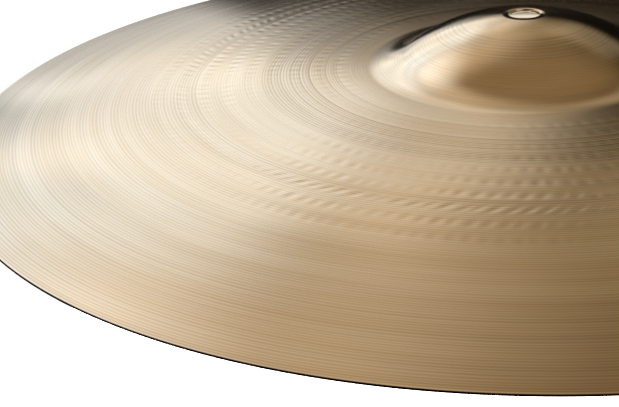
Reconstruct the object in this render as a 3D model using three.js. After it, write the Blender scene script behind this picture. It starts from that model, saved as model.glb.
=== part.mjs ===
// Crash cymbal: one hammered and lathed plate of cast bronze, 18 inches across, with a bell.
// Millimetres, +Z up, bell up. The origin is on the axis, in the plane that the edge rests on.
import * as THREE from 'three';

// Driving dimensions
const DIAMETER = 457.2;         // over the edge
const HOLE_DIAMETER = 12.7;     // mounting hole through the crown of the bell
const SEAT_RADIUS = 9.2;        // flat seat around the hole, above and below
const DOME_RADIUS = 84;         // sphere of the bell, centred on the axis
const FOOT_RADIUS = 28;         // hollow fillet that turns the bell out into the bow
const BOW_START = 63;           // radius where the fillet meets the bow
const BOW_RISE = 19.8;          // height of the bow, from the edge to the foot of the bell
const BOW_START_SLOPE = 0.016;  // fall of the bow beside the bell; it steepens outwards
const BELL_THICKNESS = 1.3;     // the plate is even in the bell and tapers over the bow
const EDGE_THICKNESS = 0.8;
const EDGE_EASE = 0.15;         // small bevel on both corners of the edge
const REST_WIDTH = 1.0;         // flat ring under the edge

// Fineness of the facets
const SEGMENTS = 80;
const DOME_STEPS = 6;
const FOOT_STEPS = 4;
const BOW_STEPS = 7;

const EDGE_RADIUS = DIAMETER / 2;
const HOLE_RADIUS = HOLE_DIAMETER / 2;
const BOW_WIDTH = EDGE_RADIUS - BOW_START;
const BOW_CURVE = (BOW_RISE - BOW_START_SLOPE * BOW_WIDTH) / BOW_WIDTH ** 2;
const FOOT_HEIGHT = EDGE_THICKNESS + BOW_RISE;

// The foot fillet is a circle above the plate, tangent to the bow and to the dome.
const FOOT_END_ANGLE = Math.atan(BOW_START_SLOPE);
const FOOT_CENTRE_R = BOW_START + FOOT_RADIUS * Math.sin(FOOT_END_ANGLE);
const FOOT_CENTRE_Z = FOOT_HEIGHT + FOOT_RADIUS * Math.cos(FOOT_END_ANGLE);
const MEETING_ANGLE = Math.asin(FOOT_CENTRE_R / (DOME_RADIUS + FOOT_RADIUS));
const DOME_CENTRE_Z = FOOT_CENTRE_Z - (DOME_RADIUS + FOOT_RADIUS) * Math.cos(MEETING_ANGLE);
const SEAT_ANGLE = Math.asin(SEAT_RADIUS / DOME_RADIUS);

// A station is a point on the upper surface: its radius, its height and how steeply it falls.
function seatStation(radius) {
  return { r: radius, z: DOME_CENTRE_Z + DOME_RADIUS * Math.cos(SEAT_ANGLE), fall: 0 };
}

function domeStation(angle) {
  const z = DOME_CENTRE_Z + DOME_RADIUS * Math.cos(angle);
  return { r: DOME_RADIUS * Math.sin(angle), z, fall: angle };
}

function footStation(angle) {
  const r = FOOT_CENTRE_R - FOOT_RADIUS * Math.sin(angle);
  return { r, z: FOOT_CENTRE_Z - FOOT_RADIUS * Math.cos(angle), fall: angle };
}

function bowStation(radius) {
  const x = radius - BOW_START;
  const z = FOOT_HEIGHT - BOW_START_SLOPE * x - BOW_CURVE * x ** 2;
  return { r: radius, z, fall: Math.atan(BOW_START_SLOPE + 2 * BOW_CURVE * x) };
}

function between(first, last, steps, makeStation) {
  const at = (i) => makeStation(first + (last - first) * i / steps);
  return Array.from({ length: steps }, (_, i) => at(i + 1));
}

function upperStations() {
  return [
    seatStation(HOLE_RADIUS),
    seatStation(SEAT_RADIUS),
    ...between(SEAT_ANGLE, MEETING_ANGLE, DOME_STEPS, domeStation),
    ...between(MEETING_ANGLE, FOOT_END_ANGLE, FOOT_STEPS, footStation),
    ...between(BOW_START, EDGE_RADIUS - EDGE_EASE, BOW_STEPS, bowStation),
  ];
}

function thicknessAt(radius) {
  const outward = Math.max(0, (radius - BOW_START) / BOW_WIDTH);
  return BELL_THICKNESS + (EDGE_THICKNESS - BELL_THICKNESS) * outward;
}

function underside(station) {
  const t = thicknessAt(station.r);
  const r = station.r - t * Math.sin(station.fall);
  return new THREE.Vector2(r, station.z - t * Math.cos(station.fall));
}

// Half of the cross-section, once round: up the hole wall, out over the top, round the edge and
// back under the plate.
function plateSection() {
  const stations = upperStations();
  const above = stations.map((s) => new THREE.Vector2(s.r, s.z));
  const below = stations.slice(0, -1).map(underside).reverse();
  const edge = [
    new THREE.Vector2(EDGE_RADIUS, EDGE_THICKNESS - EDGE_EASE),
    new THREE.Vector2(EDGE_RADIUS, EDGE_EASE),
    new THREE.Vector2(EDGE_RADIUS - EDGE_EASE, 0),
    new THREE.Vector2(EDGE_RADIUS - EDGE_EASE - REST_WIDTH, 0),
  ];
  return [...above, ...edge, ...below, above[0].clone()];
}

function makeCymbal() {
  const geometry = new THREE.LatheGeometry(plateSection().reverse(), SEGMENTS);
  geometry.rotateX(Math.PI / 2);
  const bronze = new THREE.MeshStandardMaterial({ color: 0xc8a871, roughness: 0.28, metalness: 1 });
  const mesh = new THREE.Mesh(geometry, bronze);
  mesh.name = 'cymbal';
  return mesh;
}

const group = new THREE.Group();
group.add(makeCymbal());

export default group;
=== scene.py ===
import math

import bpy
import numpy as np
from mathutils import Matrix, Quaternion, Vector


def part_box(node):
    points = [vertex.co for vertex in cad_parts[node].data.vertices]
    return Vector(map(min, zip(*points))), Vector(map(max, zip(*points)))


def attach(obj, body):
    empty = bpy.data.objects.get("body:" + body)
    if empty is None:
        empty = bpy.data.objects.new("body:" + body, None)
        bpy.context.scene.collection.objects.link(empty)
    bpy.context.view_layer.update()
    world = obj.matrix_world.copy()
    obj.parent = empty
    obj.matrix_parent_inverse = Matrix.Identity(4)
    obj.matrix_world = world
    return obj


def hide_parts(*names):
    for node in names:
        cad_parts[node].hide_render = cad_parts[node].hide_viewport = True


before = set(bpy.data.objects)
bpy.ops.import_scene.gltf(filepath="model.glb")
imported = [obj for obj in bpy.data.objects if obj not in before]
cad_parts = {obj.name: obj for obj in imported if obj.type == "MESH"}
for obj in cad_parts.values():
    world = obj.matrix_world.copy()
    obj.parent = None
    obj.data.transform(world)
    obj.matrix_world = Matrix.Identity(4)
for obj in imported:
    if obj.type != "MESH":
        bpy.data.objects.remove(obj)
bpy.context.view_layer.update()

# A crash cymbal: one bronze plate. The CAD node keeps its shape for collision, and this script
# stands a fine mesh in its place, with the lathe's grooves and the hammer's marks in the metal.
# Metres, in the frame of the CAD model: +Z up, the edge resting in the plane z = 0.

LOW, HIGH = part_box("cymbal")

MM = 0.001
TURN = 2 * math.pi
SEED = 18

# The plate's outline, as in the CAD part, except that the dome runs on to the hole where the CAD
# part has a flat seat
EDGE_RADIUS = (HIGH.x - LOW.x) / 2
HOLE_RADIUS = 6.35 * MM
DOME_RADIUS = 84 * MM
FOOT_RADIUS = 28 * MM
BOW_START = 63 * MM
BOW_RISE = 19.8 * MM
BOW_START_SLOPE = 0.016
BELL_THICKNESS = 1.3 * MM
EDGE_THICKNESS = 0.8 * MM

BOW_WIDTH = EDGE_RADIUS - BOW_START
BOW_CURVE = (BOW_RISE - BOW_START_SLOPE * BOW_WIDTH) / BOW_WIDTH ** 2
FOOT_HEIGHT = EDGE_THICKNESS + BOW_RISE
FOOT_END_ANGLE = math.atan(BOW_START_SLOPE)
FOOT_CENTRE_R = BOW_START + FOOT_RADIUS * math.sin(FOOT_END_ANGLE)
FOOT_CENTRE_Z = FOOT_HEIGHT + FOOT_RADIUS * math.cos(FOOT_END_ANGLE)
MEETING_ANGLE = math.asin(FOOT_CENTRE_R / (DOME_RADIUS + FOOT_RADIUS))
DOME_END = DOME_RADIUS * math.sin(MEETING_ANGLE)
DOME_CENTRE_Z = FOOT_CENTRE_Z - (DOME_RADIUS + FOOT_RADIUS) * math.cos(MEETING_ANGLE)
EDGE_EASE = EDGE_THICKNESS / 2      # the edge is rounded over its whole thickness
HOLE_EASE = 0.2 * MM                # the corners of the hole are just broken

# Fineness of the mesh
SEGMENTS = 256
HAMMERED_SEGMENTS = 768
ROWS_PER_GROOVE = 4
LEAST_GAP = 0.3                     # least gap beside the end of a run, as a share of a row's gap
EDGE_ROWS = 10
UNDER_START = 2.2 * EDGE_EASE       # distance in from the edge where the underside's rows begin
UNDER_STEP = 0.75 * MM

# Lathe grooves of the upper surface, in millimetres from the hole outwards: where each zone starts,
# the pitch of its grooves, their depth, and the painted shade and tarnish in their valleys (0 to 1)
LATHE_ZONES = [
    (9.0, 1.6, 0.0006, 0.02), (24.0, 1.7, 0.040, 0.28), (36.0, 1.1, 0.014, 0.14),
    (58.0, 1.2, 0.008, 0.10), (74.0, 1.2, 0.022, 0.40), (80.0, 1.2, 0.012, 0.25),
    (86.0, 1.3, 0.044, 0.60), (106.0, 1.15, 0.015, 0.30), (131.0, 1.2, 0.030, 0.45),
    (141.0, 1.2, 0.014, 0.36), (186.0, 1.25, 0.018, 0.46),
]
# The same for the underside, which has no painted shade in its grooves
UNDER_ZONES = [(12.0, 2.6, 0.012, 0.0), (60.0, 3.2, 0.02, 0.0)]
PITCH_SPREAD = 0.22                 # how far a groove's width strays from its pitch
SHALLOWEST = 0.35                   # share of its zone's depth that the shallowest groove has
PLAIN_SHADE = 0.5                   # share of the shade that doesn't depend on a groove's depth
MOST_WAVES = 4                      # how often a groove may fade in and out round the plate
ROUND_CHANGE = 0.25                 # how much it fades then, either way

# The hammered band: rings of small marks, about evenly spaced along each ring
FIRST_RING = 74.2 * MM
RING_PITCH = 9.15 * MM
MARK_SPACING = 5.45 * MM
MARK_HALF_WIDTH = 1.05 * MM
MARK_HALF_LENGTH = 1.6 * MM
MARK_SIDE_STRAY = 0.07              # along the ring, as a share of the spacing
MARK_RADIAL_STRAY = 0.25 * MM
MARK_STRENGTHS = (0.7, 1.1)         # least and most share of its ring's depth that a mark has
RING_REACH = 8 * MM                 # past this distance a ring's marks have died out
HAMMERED_FROM = 69 * MM             # from here to the next radius the mesh is finer
HAMMERED_TO = 165 * MM
# Depth in millimetres and lean of the marks in each ring, from the bell outwards
MARKS = [
    (0.016, 0.0), (0.016, 0.0), (0.022, 0.0), (0.036, 0.0), (0.048, 0.0),
    (0.065, 0.0), (0.085, -0.3), (0.115, -0.85), (0.080, -0.3), (0.045, 0.0),
]

# Turned steps, in millimetres: radius, half width and how far the surface drops going outwards
STEPS = [
    (74.5, 1.6, 0.02), (78.9, 1.2, 0.03), (82.4, 1.6, -0.03), (101.8, 1.5, 0.015), (107.8, 2, -0.01),
    (117, 2, 0.02), (123, 2, -0.02), (130.6, 1.4, -0.035), (133.8, 1.4, 0.05), (143, 2, 0.02),
    (149.5, 1.5, -0.025), (154, 2, 0.02), (164.8, 2.5, -0.02), (170, 2.5, 0.025), (184, 2.5, -0.03),
    (190, 2.5, 0.025), (201.5, 3, -0.03), (206.5, 3, 0.04), (213, 3, -0.03), (218, 3, 0.025),
]

# Broad soft dents over the outer bow
DENT_COUNT = 70
DENTED_FROM = 155 * MM
DENTED_TO = 224 * MM
DENT_RADIAL_SPREADS = (5 * MM, 10 * MM)
DENT_ROUND_SPREADS = (12 * MM, 30 * MM)
DENT_DEPTH = 0.06 * MM              # most, up or down
DENT_REACH = 3.5                    # in radial spreads

# Close to the edge the relief dies out, and a faint lip rises; distances in from the edge
FADE_START = 1.2 * MM
FADE_END = 0.4 * MM
LIP_START = 1.6 * MM
LIP_RISE = 0.006 * MM


def smooth_step(x, low, high):
    t = np.clip((np.asarray(x, float) - low) / (high - low), 0.0, 1.0)
    return t * t * (3 - 2 * t)


def plate_top(radius):
    """(height, slope angle) of the plain upper surface at each radius."""
    r = np.asarray(radius, float)
    dome = DOME_CENTRE_Z + np.sqrt(np.maximum(DOME_RADIUS ** 2 - r ** 2, 0))
    dome_fall = np.arcsin(np.clip(r / DOME_RADIUS, -1, 1))
    inward = np.clip((FOOT_CENTRE_R - r) / FOOT_RADIUS, -1, 1)
    foot = FOOT_CENTRE_Z - FOOT_RADIUS * np.sqrt(1 - inward ** 2)
    x = r - BOW_START
    bow = FOOT_HEIGHT - BOW_START_SLOPE * x - BOW_CURVE * x ** 2
    bow_fall = np.arctan(BOW_START_SLOPE + 2 * BOW_CURVE * x)
    zones = [r < DOME_END, r < BOW_START]
    height = np.select(zones, [dome, foot], bow)
    fall = np.select(zones, [dome_fall, np.arcsin(inward)], bow_fall)
    return height, fall


def thickness_at(radius):
    outward = np.clip((radius - BOW_START) / BOW_WIDTH, 0, 1)
    return BELL_THICKNESS + (EDGE_THICKNESS - BELL_THICKNESS) * outward


# ---------------------------------------------------------------- relief of the metal

class Grooves:
    """Scallops side by side. Each has its own width and depth, and fades in and out round the
    plate in its own way, because the hammering left the metal a little high and low."""

    def __init__(self, zones, end, seed):
        rng = np.random.default_rng(seed)
        edges = [zones[0][0] * MM]
        depths = []
        shades = []
        ends = [zone[0] * MM for zone in zones[1:]] + [end]
        for (_, pitch, depth, shade), zone_end in zip(zones, ends):
            while edges[-1] < zone_end:
                width = pitch * MM * rng.uniform(1 - PITCH_SPREAD, 1 + PITCH_SPREAD)
                edges.append(edges[-1] + width)
                share = rng.uniform(SHALLOWEST, 1.0)
                depths.append(depth * MM * share)
                shades.append(shade * (PLAIN_SHADE + (1 - PLAIN_SHADE) * share))
        self.edges = np.array(edges)
        self.depths = np.array(depths)
        self.shades = np.array(shades)
        self.waves = rng.integers(1, MOST_WAVES + 1, len(depths))
        self.phases = rng.uniform(0, TURN, len(depths))

    def scallop(self, radius):
        """(which groove, how far down its curve): 0 on a crest and 1 at the bottom."""
        i = np.clip(np.searchsorted(self.edges, radius, side="right") - 1, 0, len(self.depths) - 1)
        t = (radius - self.edges[i]) / (self.edges[i + 1] - self.edges[i])
        return i, 4 * np.clip(t * (1 - t), 0, None)

    def __call__(self, radius, angle):
        i, down = self.scallop(radius)
        wave = np.sin(self.waves[i] * angle + self.phases[i])
        return -self.depths[i] * down * (1 - ROUND_CHANGE + ROUND_CHANGE * wave)

    def shade(self, radius):
        """How much painted shade and tarnish darken the groove at each radius, 0 on a crest."""
        i, down = self.scallop(radius)
        return down * self.shades[i]

    def rows(self, start, end):
        """Radii that show each groove's shape: its edge, its bottom and its two flanks."""
        share = np.arange(ROWS_PER_GROOVE) / ROWS_PER_GROOVE
        widths = np.diff(self.edges)
        radii = (self.edges[:-1, None] + widths[:, None] * share[None, :]).ravel()
        least = LEAST_GAP * np.median(widths) / ROWS_PER_GROOVE
        inside = radii[(radii > start + least) & (radii < end - least)]
        return np.concatenate([[start], inside, [end]])


class HammerRing:
    """One ring of hammer marks. Each is a shallow oval dimple, which may lean from the radius."""

    def __init__(self, index, depth, lean, rng):
        self.radius = FIRST_RING + RING_PITCH * index
        self.depth = depth * MM
        self.lean = lean
        self.count = round(TURN * self.radius / MARK_SPACING)
        self.spacing = TURN * self.radius / self.count
        self.phase = rng.uniform(0, 1)
        self.side_shift = rng.normal(0, MARK_SIDE_STRAY, self.count)
        self.radial_shift = rng.normal(0, MARK_RADIAL_STRAY, self.count)
        self.strength = rng.uniform(*MARK_STRENGTHS, self.count)

    def __call__(self, radius, angle):
        place = angle / TURN * self.count - self.phase
        nearest = np.round(place).astype(int)
        total = np.zeros(np.broadcast(radius, angle).shape)
        for step in (-1, 0, 1):
            k = nearest + step
            m = k % self.count
            along = (place - k - self.side_shift[m]) * self.spacing
            across = radius - self.radius - self.radial_shift[m]
            u = (along - self.lean * across) / MARK_HALF_WIDTH
            v = across / MARK_HALF_LENGTH
            total += self.strength[m] * np.exp(-0.5 * (u ** 2 + v ** 2))
        return -self.depth * total


def make_rings():
    rng = np.random.default_rng(SEED)
    return [HammerRing(i, depth, lean, rng) for i, (depth, lean) in enumerate(MARKS)]


def hammering(radius, angle):
    total = np.zeros(np.broadcast(radius, angle).shape)
    for ring in RINGS:
        near = np.abs(radius[:, 0] - ring.radius) < RING_REACH
        if near.any():
            total[near] += ring(radius[near], angle)
    return total


def make_dents():
    """The radius, angle, radial spread, spread round the plate, and height of each dent."""
    rng = np.random.default_rng(SEED + 1)
    return list(zip(
        rng.uniform(DENTED_FROM, DENTED_TO, DENT_COUNT),
        rng.uniform(0, TURN, DENT_COUNT),
        rng.uniform(*DENT_RADIAL_SPREADS, DENT_COUNT),
        rng.uniform(*DENT_ROUND_SPREADS, DENT_COUNT),
        rng.uniform(-DENT_DEPTH, DENT_DEPTH, DENT_COUNT),
    ))


def denting(radius, angle):
    total = np.zeros(np.broadcast(radius, angle).shape)
    for at, turned, radial_spread, round_spread, height in DENTS:
        near = np.abs(radius[:, 0] - at) < DENT_REACH * radial_spread
        if not near.any():
            continue
        turn = (angle - turned + math.pi) % TURN - math.pi
        u = turn * at / round_spread
        v = (radius[near] - at) / radial_spread
        total[near] += height * np.exp(-0.5 * (u ** 2 + v ** 2))
    return total


def turned_steps(radius):
    total = np.zeros_like(radius)
    for at, half_width, drop in STEPS:
        total -= drop * MM * smooth_step(radius, (at - half_width) * MM, (at + half_width) * MM)
    return total


def edge_fade(radius):
    """1 over the plate and 0 at the edge, where the relief dies out."""
    return 1 - smooth_step(radius, EDGE_RADIUS - FADE_START, EDGE_RADIUS - FADE_END)


def top_relief(radius, angle):
    """Height of the worked surface over the plain one: radius is a column, angle a row."""
    lathed = TOP_GROOVES(radius, angle) + turned_steps(radius)
    lip = LIP_RISE * smooth_step(radius, EDGE_RADIUS - LIP_START, EDGE_RADIUS - FADE_END)
    return edge_fade(radius) * (lathed + hammering(radius, angle) + denting(radius, angle)) + lip


def under_relief(radius, angle):
    """The same for the underside, where a groove goes up into the plate."""
    return edge_fade(radius) * (denting(radius, angle) - UNDER_GROOVES(radius, angle))


RINGS = make_rings()
DENTS = make_dents()
TOP_GROOVES = Grooves(LATHE_ZONES, EDGE_RADIUS - EDGE_EASE, SEED + 2)
UNDER_GROOVES = Grooves(UNDER_ZONES, EDGE_RADIUS - EDGE_EASE, SEED + 3)


# ---------------------------------------------------------------- mesh

MAP_START = 0.25                    # a face with corners on both sides of these two shares of the
MAP_END = 0.75                      # map crosses its border


def turn_rows(radius, height, fall, relief, segments):
    """Rows of points for a run of stations; relief stands along the surface's normal."""
    angle = np.arange(segments)[None, :] * (TURN / segments)
    r, z, a = (np.asarray(v)[:, None] for v in (radius, height, fall))
    d = relief(r, angle) if relief else 0 * r
    rr = r + d * np.sin(a) + 0 * angle
    zz = z + d * np.cos(a) + 0 * angle
    return np.stack([rr * np.cos(angle), rr * np.sin(angle), zz], axis=-1)


def top_runs():
    """The upper surface from the hole to the edge, in runs that share a number of segments, and
    the groove shade of each row."""
    borders = [HOLE_RADIUS + HOLE_EASE, HAMMERED_FROM, HAMMERED_TO, EDGE_RADIUS - EDGE_EASE]
    counts = [SEGMENTS, HAMMERED_SEGMENTS, SEGMENTS]
    runs = []
    shades = []
    for start, end, count in zip(borders, borders[1:], counts):
        radius = TOP_GROOVES.rows(start, end)
        if runs:
            radius = radius[1:]
        height, fall = plate_top(radius)
        runs.append(turn_rows(radius, height, fall, top_relief, count))
        shades.append(TOP_GROOVES.shade(radius) * edge_fade(radius))
    return runs, np.concatenate(shades)


def edge_run():
    """The rounded edge, from the top over to the underside."""
    height, fall = plate_top(np.array([EDGE_RADIUS - EDGE_EASE]))
    centre_z = height[0] - EDGE_EASE * math.cos(fall[0])
    turn = np.linspace(fall[0], math.pi, EDGE_ROWS)[1:]
    radius = EDGE_RADIUS - EDGE_EASE + EDGE_EASE * np.sin(turn)
    height = np.maximum(centre_z + EDGE_EASE * np.cos(turn), 0.0)
    return turn_rows(radius, height, turn * 0, None, SEGMENTS)


def under_run():
    """The underside, from just inside the edge back to the hole."""
    start = EDGE_RADIUS - UNDER_START
    end = HOLE_RADIUS + HOLE_EASE
    station = np.linspace(start, end, round((start - end) / UNDER_STEP) + 1)
    height, fall = plate_top(station)
    thick = thickness_at(station)
    radius = station - thick * np.sin(fall)
    height = np.maximum(height - thick * np.cos(fall), 0.0)
    return turn_rows(radius, height, fall, under_relief, SEGMENTS)


def hole_run():
    """The wall of the mounting hole, with its corners just broken."""
    height, _ = plate_top(np.array([HOLE_RADIUS]))
    top = height[0]
    z = np.array([top - BELL_THICKNESS + HOLE_EASE, top - BELL_THICKNESS / 2, top - HOLE_EASE])
    return turn_rows(np.full(3, HOLE_RADIUS), z, z * 0, None, SEGMENTS)


def stitch(start_a, start_b, count_a, count_b):
    """Faces between two rows of points; one row may have a whole multiple of the other's."""
    few = min(count_a, count_b)
    ratio = max(count_a, count_b) // few
    i = np.arange(few)
    j = (i + 1) % few
    fine = (i[:, None] * ratio + np.arange(ratio + 1)[None, :]) % (few * ratio)
    if count_a < count_b:
        corners = [start_a + i, start_a + j] + [start_b + fine[:, k] for k in range(ratio, -1, -1)]
    else:
        corners = [start_a + fine[:, k] for k in range(ratio + 1)] + [start_b + j, start_b + i]
    return np.stack(corners, axis=1)[:, ::-1]


def close_map(values, firsts, face):
    """Moves the corners of a face that crosses the map's border on to the border's far side."""
    highest = np.maximum.reduceat(values, firsts)[face]
    return np.where((highest > MAP_END) & (values < MAP_START), values + 1.0, values)


def polar_map(mesh, rows):
    """Unrolls the plate for its maps: once round is the width, and the way from the hole over the
    edge and back under to the hole is the height."""
    counts = [len(row) for row in rows]
    round_share = np.concatenate([np.arange(n) / n for n in counts])
    way_share = np.repeat(np.arange(len(rows)) / len(rows), counts)
    corner_vertex = np.empty(len(mesh.loops), np.int32)
    mesh.loops.foreach_get("vertex_index", corner_vertex)
    sizes = np.empty(len(mesh.polygons), np.int32)
    mesh.polygons.foreach_get("loop_total", sizes)
    face = np.repeat(np.arange(len(sizes)), sizes)
    firsts = np.concatenate([[0], np.cumsum(sizes)[:-1]])
    u = close_map(round_share[corner_vertex], firsts, face)
    v = close_map(way_share[corner_vertex], firsts, face)
    layer = mesh.uv_layers.new(name="OFBake")
    layer.data.foreach_set("uv", np.stack([u, v], axis=1).astype(np.float32).ravel())


def make_cymbal():
    upper_runs, upper_shades = top_runs()
    runs = upper_runs + [edge_run(), under_run(), hole_run()]
    rows = [row for run in runs for row in run]
    counts = [len(row) for row in rows]
    shades = np.zeros(len(rows))
    shades[:len(upper_shades)] = upper_shades
    starts = np.concatenate([[0], np.cumsum(counts)])
    points = np.concatenate(rows)
    faces = []
    for k in range(len(rows)):
        after = (k + 1) % len(rows)
        faces.append(stitch(starts[k], starts[after], counts[k], counts[after]))
    mesh = bpy.data.meshes.new("cymbal_bronze")
    mesh.vertices.add(len(points))
    mesh.vertices.foreach_set("co", points.astype(np.float32).ravel())
    corners = np.concatenate([f.ravel() for f in faces])
    sizes = np.concatenate([np.full(len(f), f.shape[1]) for f in faces])
    mesh.loops.add(len(corners))
    mesh.loops.foreach_set("vertex_index", corners.astype(np.int32))
    mesh.polygons.add(len(sizes))
    loop_start = np.concatenate([[0], np.cumsum(sizes)[:-1]])
    mesh.polygons.foreach_set("loop_start", loop_start.astype(np.int32))
    mesh.polygons.foreach_set("use_smooth", np.ones(len(sizes), bool))
    mesh.update(calc_edges=True)
    mesh.validate()
    polar_map(mesh, rows)
    # Per point, the painted shade and tarnish of the grooves' valleys
    shade_layer = mesh.attributes.new("groove_shade_and_tarnish", "FLOAT", "POINT")
    shade_layer.data.foreach_set("value", np.repeat(shades, counts).astype(np.float32))
    piece = bpy.data.objects.new("cymbal_plate", mesh)
    bpy.context.scene.collection.objects.link(piece)
    return piece


# ---------------------------------------------------------------- material

class Nodes:
    """A short way to write a node tree."""

    def __init__(self, owner):
        owner.use_nodes = True
        self.tree = owner.node_tree
        self.tree.nodes.clear()

    def add(self, kind, **settings):
        node = self.tree.nodes.new(kind)
        for name, value in settings.items():
            setattr(node, name, value)
        return node

    def feed(self, socket, value):
        """Sets a socket, or links it where the value is another node's output."""
        if isinstance(value, bpy.types.NodeSocket):
            self.tree.links.new(value, socket)
        elif isinstance(value, tuple) and len(value) == 3 and socket.type == "RGBA":
            socket.default_value = (*value, 1.0)
        else:
            socket.default_value = value

    def math(self, operation, *values):
        node = self.add("ShaderNodeMath", operation=operation)
        for socket, value in zip(node.inputs, values):
            self.feed(socket, value)
        return node.outputs[0]

    def ramp(self, value, low, high, to_low=0.0, to_high=1.0):
        node = self.add("ShaderNodeMapRange", interpolation_type="SMOOTHSTEP")
        names = ("Value", "From Min", "From Max", "To Min", "To Max")
        for name, number in zip(names, (value, low, high, to_low, to_high)):
            self.feed(node.inputs[name], number)
        return node.outputs[0]

    def vector(self, x, y=0.0, z=0.0):
        node = self.add("ShaderNodeCombineXYZ")
        for socket, value in zip(node.inputs, (x, y, z)):
            self.feed(socket, value)
        return node.outputs[0]

    def noise(self, vector, scale, detail, roughness):
        node = self.add("ShaderNodeTexNoise", noise_dimensions="3D")
        names = ("Vector", "Scale", "Detail", "Roughness")
        for name, value in zip(names, (vector, scale, detail, roughness)):
            self.feed(node.inputs[name], value)
        return node.outputs[0]

    def mix_colour(self, factor, a, b):
        node = self.add("ShaderNodeMix", data_type="RGBA")
        self.feed(node.inputs["Factor"], factor)
        for name, value in (("A", a), ("B", b)):
            self.feed(next(s for s in node.inputs if s.name == name and s.type == "RGBA"), value)
        return next(s for s in node.outputs if s.type == "RGBA")


# The tints of the bronze
WARM_BRONZE = (0.85, 0.69, 0.47)
PALE_BRONZE = (0.97, 0.85, 0.66)
ROSY_BRONZE = (0.94, 0.80, 0.62)
# Painted shade, with some tarnish, for the grooves' valleys
GROOVE_PAINTED_SHADE_AND_TARNISH = (0.27, 0.20, 0.12)
# Painted shade, near black, along the rim
EDGE_PAINTED_SHADE = (0.035, 0.022, 0.012)

# Patterns that the lathe leaves: how fast each one changes along the radius, per metre, and its
# noise's scale, detail and roughness. The cloud doesn't follow the lathe.
BAND_RATE = 90.0
BAND_NOISE = (1.0, 3.0, 0.6)
LINE_RATE = 900.0
LINE_NOISE = (1.0, 2.0, 0.7)
SCRATCH_RATE = 4500.0
SCRATCH_NOISE = (3.0, 1.0, 0.5)
CLOUD_NOISE = (14.0, 3.0, 0.55)

# Ramps: a pattern's value from and to, and the share of the tint there
PALE_IN_BANDS = (0.35, 0.65, 0.35, 0.9)
ROSY_IN_CLOUDS = (0.3, 0.8, 0.0, 0.35)
WARM_IN_LINES = (0.5, 0.75, 0.0, 0.6)
SHADE_IN_CLOUDS = (0.3, 0.7, 0.7, 1.0)
EDGE_TINT_FROM = 0.5 * MM           # distances in from the edge, between which the painted edge shade begins
EDGE_TINT_TO = 0.3 * MM

# Roughness of the plain metal, and what each pattern adds to it
PLAIN_ROUGHNESS = 0.10
BAND_ROUGHNESS = 0.05
LINE_ROUGHNESS = 0.03
CLOUD_ROUGHNESS = 0.02
EDGE_ROUGHNESS = 0.30

SCRATCH_SHARE = 0.3                 # height of a scratch beside that of a line
BUMP_STRENGTH = 0.5
BUMP_HEIGHT = 0.008 * MM
GLOSS_STRETCH = 0.8                 # the lathe's lines stretch a highlight across them
GLOSS_TURN = 0.25                   # whole turns from the way round the plate


def bronze_material():
    """Brilliant lathed bronze."""
    material = bpy.data.materials.new("brilliant_bronze")
    t = Nodes(material)
    place = t.add("ShaderNodeTexCoord").outputs["Object"]
    split = t.add("ShaderNodeSeparateXYZ")
    t.feed(split.inputs[0], place)
    x, y, _ = split.outputs
    radius = t.math("SQRT", t.math("MULTIPLY_ADD", x, x, t.math("MULTIPLY", y, y)))
    across = t.math("DIVIDE", x, radius)
    ahead = t.math("DIVIDE", y, radius)

    # The first three change along the radius and only slowly round the plate.
    turned = [
        t.vector(t.math("MULTIPLY", radius, rate), across, ahead)
        for rate in (BAND_RATE, LINE_RATE, SCRATCH_RATE)
    ]
    band = t.noise(turned[0], *BAND_NOISE)
    line = t.noise(turned[1], *LINE_NOISE)
    scratch = t.noise(turned[2], *SCRATCH_NOISE)
    cloud = t.noise(place, *CLOUD_NOISE)

    colour = t.mix_colour(t.ramp(band, *PALE_IN_BANDS), WARM_BRONZE, PALE_BRONZE)
    colour = t.mix_colour(t.ramp(cloud, *ROSY_IN_CLOUDS), colour, ROSY_BRONZE)
    colour = t.mix_colour(t.ramp(line, *WARM_IN_LINES), colour, WARM_BRONZE)
    # The grooves' valleys are darkened: painted shade, with some tarnish
    groove = t.add("ShaderNodeAttribute", attribute_name="groove_shade_and_tarnish").outputs["Fac"]
    groove = t.math("MULTIPLY", groove, t.ramp(cloud, *SHADE_IN_CLOUDS))
    colour = t.mix_colour(groove, colour, GROOVE_PAINTED_SHADE_AND_TARNISH)
    # The rim is painted near black: painted shade along the edge
    at_edge = t.ramp(radius, EDGE_RADIUS - EDGE_TINT_FROM, EDGE_RADIUS - EDGE_TINT_TO)
    colour = t.mix_colour(at_edge, colour, EDGE_PAINTED_SHADE)

    rough = t.math("MULTIPLY_ADD", band, BAND_ROUGHNESS, PLAIN_ROUGHNESS)
    rough = t.math("MULTIPLY_ADD", line, LINE_ROUGHNESS, rough)
    rough = t.math("MULTIPLY_ADD", cloud, CLOUD_ROUGHNESS, rough)
    rough = t.math("MULTIPLY_ADD", at_edge, EDGE_ROUGHNESS, rough)

    bump = t.add("ShaderNodeBump")
    bump.inputs["Strength"].default_value = BUMP_STRENGTH
    bump.inputs["Distance"].default_value = BUMP_HEIGHT
    t.feed(bump.inputs["Height"], t.math("MULTIPLY_ADD", scratch, SCRATCH_SHARE, line))

    shader = t.add("ShaderNodeBsdfPrincipled")
    t.feed(shader.inputs["Metallic"], 1.0)
    t.feed(shader.inputs["Anisotropic"], GLOSS_STRETCH)
    t.feed(shader.inputs["Anisotropic Rotation"], GLOSS_TURN)
    t.feed(shader.inputs["Base Color"], colour)
    t.feed(shader.inputs["Roughness"], rough)
    t.feed(shader.inputs["Normal"], bump.outputs[0])
    tangent = t.add("ShaderNodeTangent", direction_type="RADIAL", axis="Z")
    t.feed(shader.inputs["Tangent"], tangent.outputs[0])
    out = t.add("ShaderNodeOutputMaterial")
    t.feed(out.inputs["Surface"], shader.outputs[0])
    return material


# ---------------------------------------------------------------- stage

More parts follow.
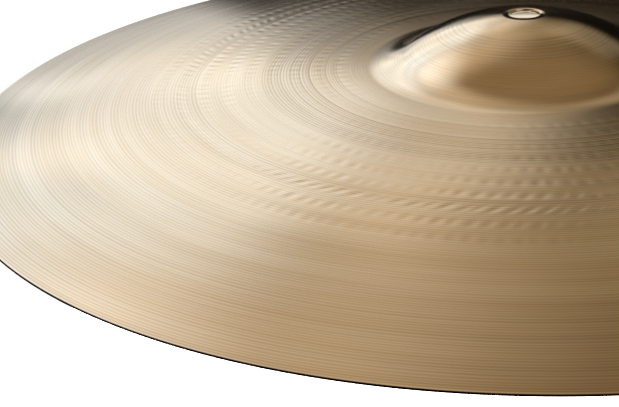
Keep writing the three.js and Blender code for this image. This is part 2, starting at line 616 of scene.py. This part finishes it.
CAMERA_PLACE = Vector((0.0, -0.5935, 0.21744))
CAMERA_YAW = math.radians(-8.66)
CAMERA_PITCH = math.radians(23.45)
CAMERA_ROLL = math.radians(-3.13)
CAMERA_LENS = 89.12
SENSOR_WIDTH = 36.0
CLIP_START = 0.01
CLIP_END = 50.0
FLOOR_DROP = 0.25
FLOOR_SIZE = 12.0
FLOOR_GLOW = 0.9
FLOOR_PAINT = (0.9, 0.9, 0.9)
FLOOR_ROUGHNESS = 0.9
PANEL_SIZE = 0.6
PANEL_GLOW = 0.8
PANEL_LIFT = 1 * MM
CARD_DISTANCE = 3.0
ROOM_COLOUR = (1.0, 0.85, 0.65)
ROOM_GLOW = 0.004
WHITE = (1.0, 1.0, 1.0)

# Soft lights: name, azimuth, elevation, width, height and roll in degrees, radiance, colour, and
# the share of the card that is at full strength
LIGHT_CARDS = [
    ("key_card", -29, 21, 29, 43, -48, 0.51, (0.88, 1.0, 1.14), 0.6),
    ("second_key_card", -17, 25, 42, 24, 47, 0.48, (1.10, 1.0, 0.90), 0.5),
    ("corner_card", -15, 13, 18, 18, 0, 0.45, WHITE, 0.1),
    ("low_card", -22.5, 4, 18, 18, -8, 0.58, (0.98, 1.0, 1.02), 0.6),
    ("left_card", -55, 34, 69, 53, -20, 0.98, (0.96, 1.0, 1.08), 0.1),
    ("high_card", -30, 49, 54, 46, 8, 0.37, (1.18, 1.0, 0.79), 0.1),
    ("bell_card", -4, 22, 20, 10, 40, 0.31, (1.12, 1.0, 0.84), 0.4),
    ("right_card", 2, 39, 38, 40, 0, 0.20, (1.30, 1.0, 0.62), 0.05),
    ("crown_card", 22, 33, 32, 32, 0, 0.16, (1.25, 1.0, 0.68), 0.3),
    ("top_card", 0, 88, 150, 110, 0, 0.16, (1.5, 1.0, 0.5), 0.1),
    ("back_card", 140, 32, 60, 46, 0, 0.95, WHITE, 0.4),
    ("side_card", -98, 6, 60, 14, 0, 0.60, WHITE, 0.4),
]


def make_camera():
    data = bpy.data.cameras.new("camera")
    data.lens = CAMERA_LENS
    data.sensor_width = SENSOR_WIDTH
    data.clip_start = CLIP_START
    data.clip_end = CLIP_END
    camera = bpy.data.objects.new("camera", data)
    forward = Vector((
        math.sin(CAMERA_YAW) * math.cos(CAMERA_PITCH),
        math.cos(CAMERA_YAW) * math.cos(CAMERA_PITCH),
        -math.sin(CAMERA_PITCH),
    ))
    level = Vector((math.cos(CAMERA_YAW), -math.sin(CAMERA_YAW), 0.0))
    above = level.cross(forward)
    right = level * math.cos(CAMERA_ROLL) + above * math.sin(CAMERA_ROLL)
    up = right.cross(forward)
    turn = Matrix((right, up, -forward)).transposed().to_4x4()
    camera.matrix_world = Matrix.Translation(CAMERA_PLACE) @ turn
    bpy.context.scene.collection.objects.link(camera)
    bpy.context.scene.camera = camera


def glowing_plane(name, size, height, glow):
    bpy.ops.mesh.primitive_plane_add(size=size, location=(0, 0, height))
    plane = bpy.context.object
    plane.name = name
    material = bpy.data.materials.new(name)
    t = Nodes(material)
    shader = t.add("ShaderNodeBsdfPrincipled")
    t.feed(shader.inputs["Base Color"], FLOOR_PAINT)
    t.feed(shader.inputs["Roughness"], FLOOR_ROUGHNESS)
    t.feed(shader.inputs["Emission Color"], WHITE)
    t.feed(shader.inputs["Emission Strength"], glow)
    out = t.add("ShaderNodeOutputMaterial")
    t.feed(out.inputs["Surface"], shader.outputs[0])
    plane.data.materials.append(material)
    return plane


def make_floor():
    """A glowing floor that the metal doesn't reflect, and just over it a smaller glowing panel
    that the metal reflects and the camera doesn't see."""
    floor = glowing_plane("floor", FLOOR_SIZE, -FLOOR_DROP, FLOOR_GLOW)
    floor.visible_glossy = False
    panel = glowing_plane("under_glow", PANEL_SIZE, PANEL_LIFT - FLOOR_DROP, PANEL_GLOW)
    panel.visible_camera = False
    panel.visible_shadow = False


def card_material(name, radiance, colour, core):
    """Light that fades from the card's core to its border, and lets the light of cards behind it
    through. The card spans -1 to 1 in its own x and y."""
    material = bpy.data.materials.new(name)
    t = Nodes(material)
    split = t.add("ShaderNodeSeparateXYZ")
    t.feed(split.inputs[0], t.add("ShaderNodeTexCoord").outputs["Object"])
    glow = radiance
    for way in split.outputs[:2]:
        from_middle = t.math("ABSOLUTE", way)
        glow = t.math("MULTIPLY", t.ramp(from_middle, core, 1.0, 1.0, 0.0), glow)
    light = t.add("ShaderNodeEmission")
    t.feed(light.inputs["Color"], colour)
    t.feed(light.inputs["Strength"], glow)
    both = t.add("ShaderNodeAddShader")
    t.feed(both.inputs[0], light.outputs[0])
    t.feed(both.inputs[1], t.add("ShaderNodeBsdfTransparent").outputs[0])
    out = t.add("ShaderNodeOutputMaterial")
    t.feed(out.inputs["Surface"], both.outputs[0])
    return material


def light_card(name, azimuth, elevation, width, height, roll, radiance, colour, core):
    """A soft-edged studio light that faces the cymbal; the camera doesn't see it. Azimuth 0 is +Y
    and 90 is +X; width and height are the angles that it fills, seen from the cymbal, and roll
    turns it anticlockwise, as the cymbal sees it."""
    a, e = math.radians(azimuth), math.radians(elevation)
    way = Vector((math.sin(a) * math.cos(e), math.cos(a) * math.cos(e), math.sin(e)))
    mesh = bpy.data.meshes.new(name)
    mesh.from_pydata([(-1, -1, 0), (1, -1, 0), (1, 1, 0), (-1, 1, 0)], [], [(0, 1, 2, 3)])
    mesh.materials.append(card_material(name, radiance, colour, core))
    card = bpy.data.objects.new(name, mesh)
    card.location = way * CARD_DISTANCE
    turn = (-way).to_track_quat("-Z", "Y")
    card.rotation_mode = "QUATERNION"
    card.rotation_quaternion = turn @ Quaternion((0, 0, 1), -math.radians(roll))
    across, up = (CARD_DISTANCE * math.tan(math.radians(size / 2)) for size in (width, height))
    card.scale = (across, up, 1.0)
    card.visible_camera = False
    card.visible_shadow = False
    bpy.context.scene.collection.objects.link(card)


def light_world():
    """A white backdrop for the camera, and a very dim warm room for the metal to reflect."""
    world = bpy.data.worlds.new("studio")
    t = Nodes(world)
    seen = t.add("ShaderNodeLightPath").outputs["Is Camera Ray"]
    room = t.add("ShaderNodeBackground")
    t.feed(room.inputs["Color"], ROOM_COLOUR)
    t.feed(room.inputs["Strength"], ROOM_GLOW)
    backdrop = t.add("ShaderNodeBackground")
    t.feed(backdrop.inputs["Color"], WHITE)
    t.feed(backdrop.inputs["Strength"], 1.0)
    either = t.add("ShaderNodeMixShader")
    for socket, value in zip(either.inputs, (seen, room.outputs[0], backdrop.outputs[0])):
        t.feed(socket, value)
    out = t.add("ShaderNodeOutputWorld")
    t.feed(out.inputs["Surface"], either.outputs[0])
    bpy.context.scene.world = world


def light_stage():
    for card in LIGHT_CARDS:
        light_card(*card)
    light_world()


bpy.context.scene.view_settings.view_transform = "Standard"
make_camera()
make_floor()
light_stage()

cymbal = make_cymbal()
cymbal.data.materials.append(bronze_material())
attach(cymbal, "root")
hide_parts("cymbal")
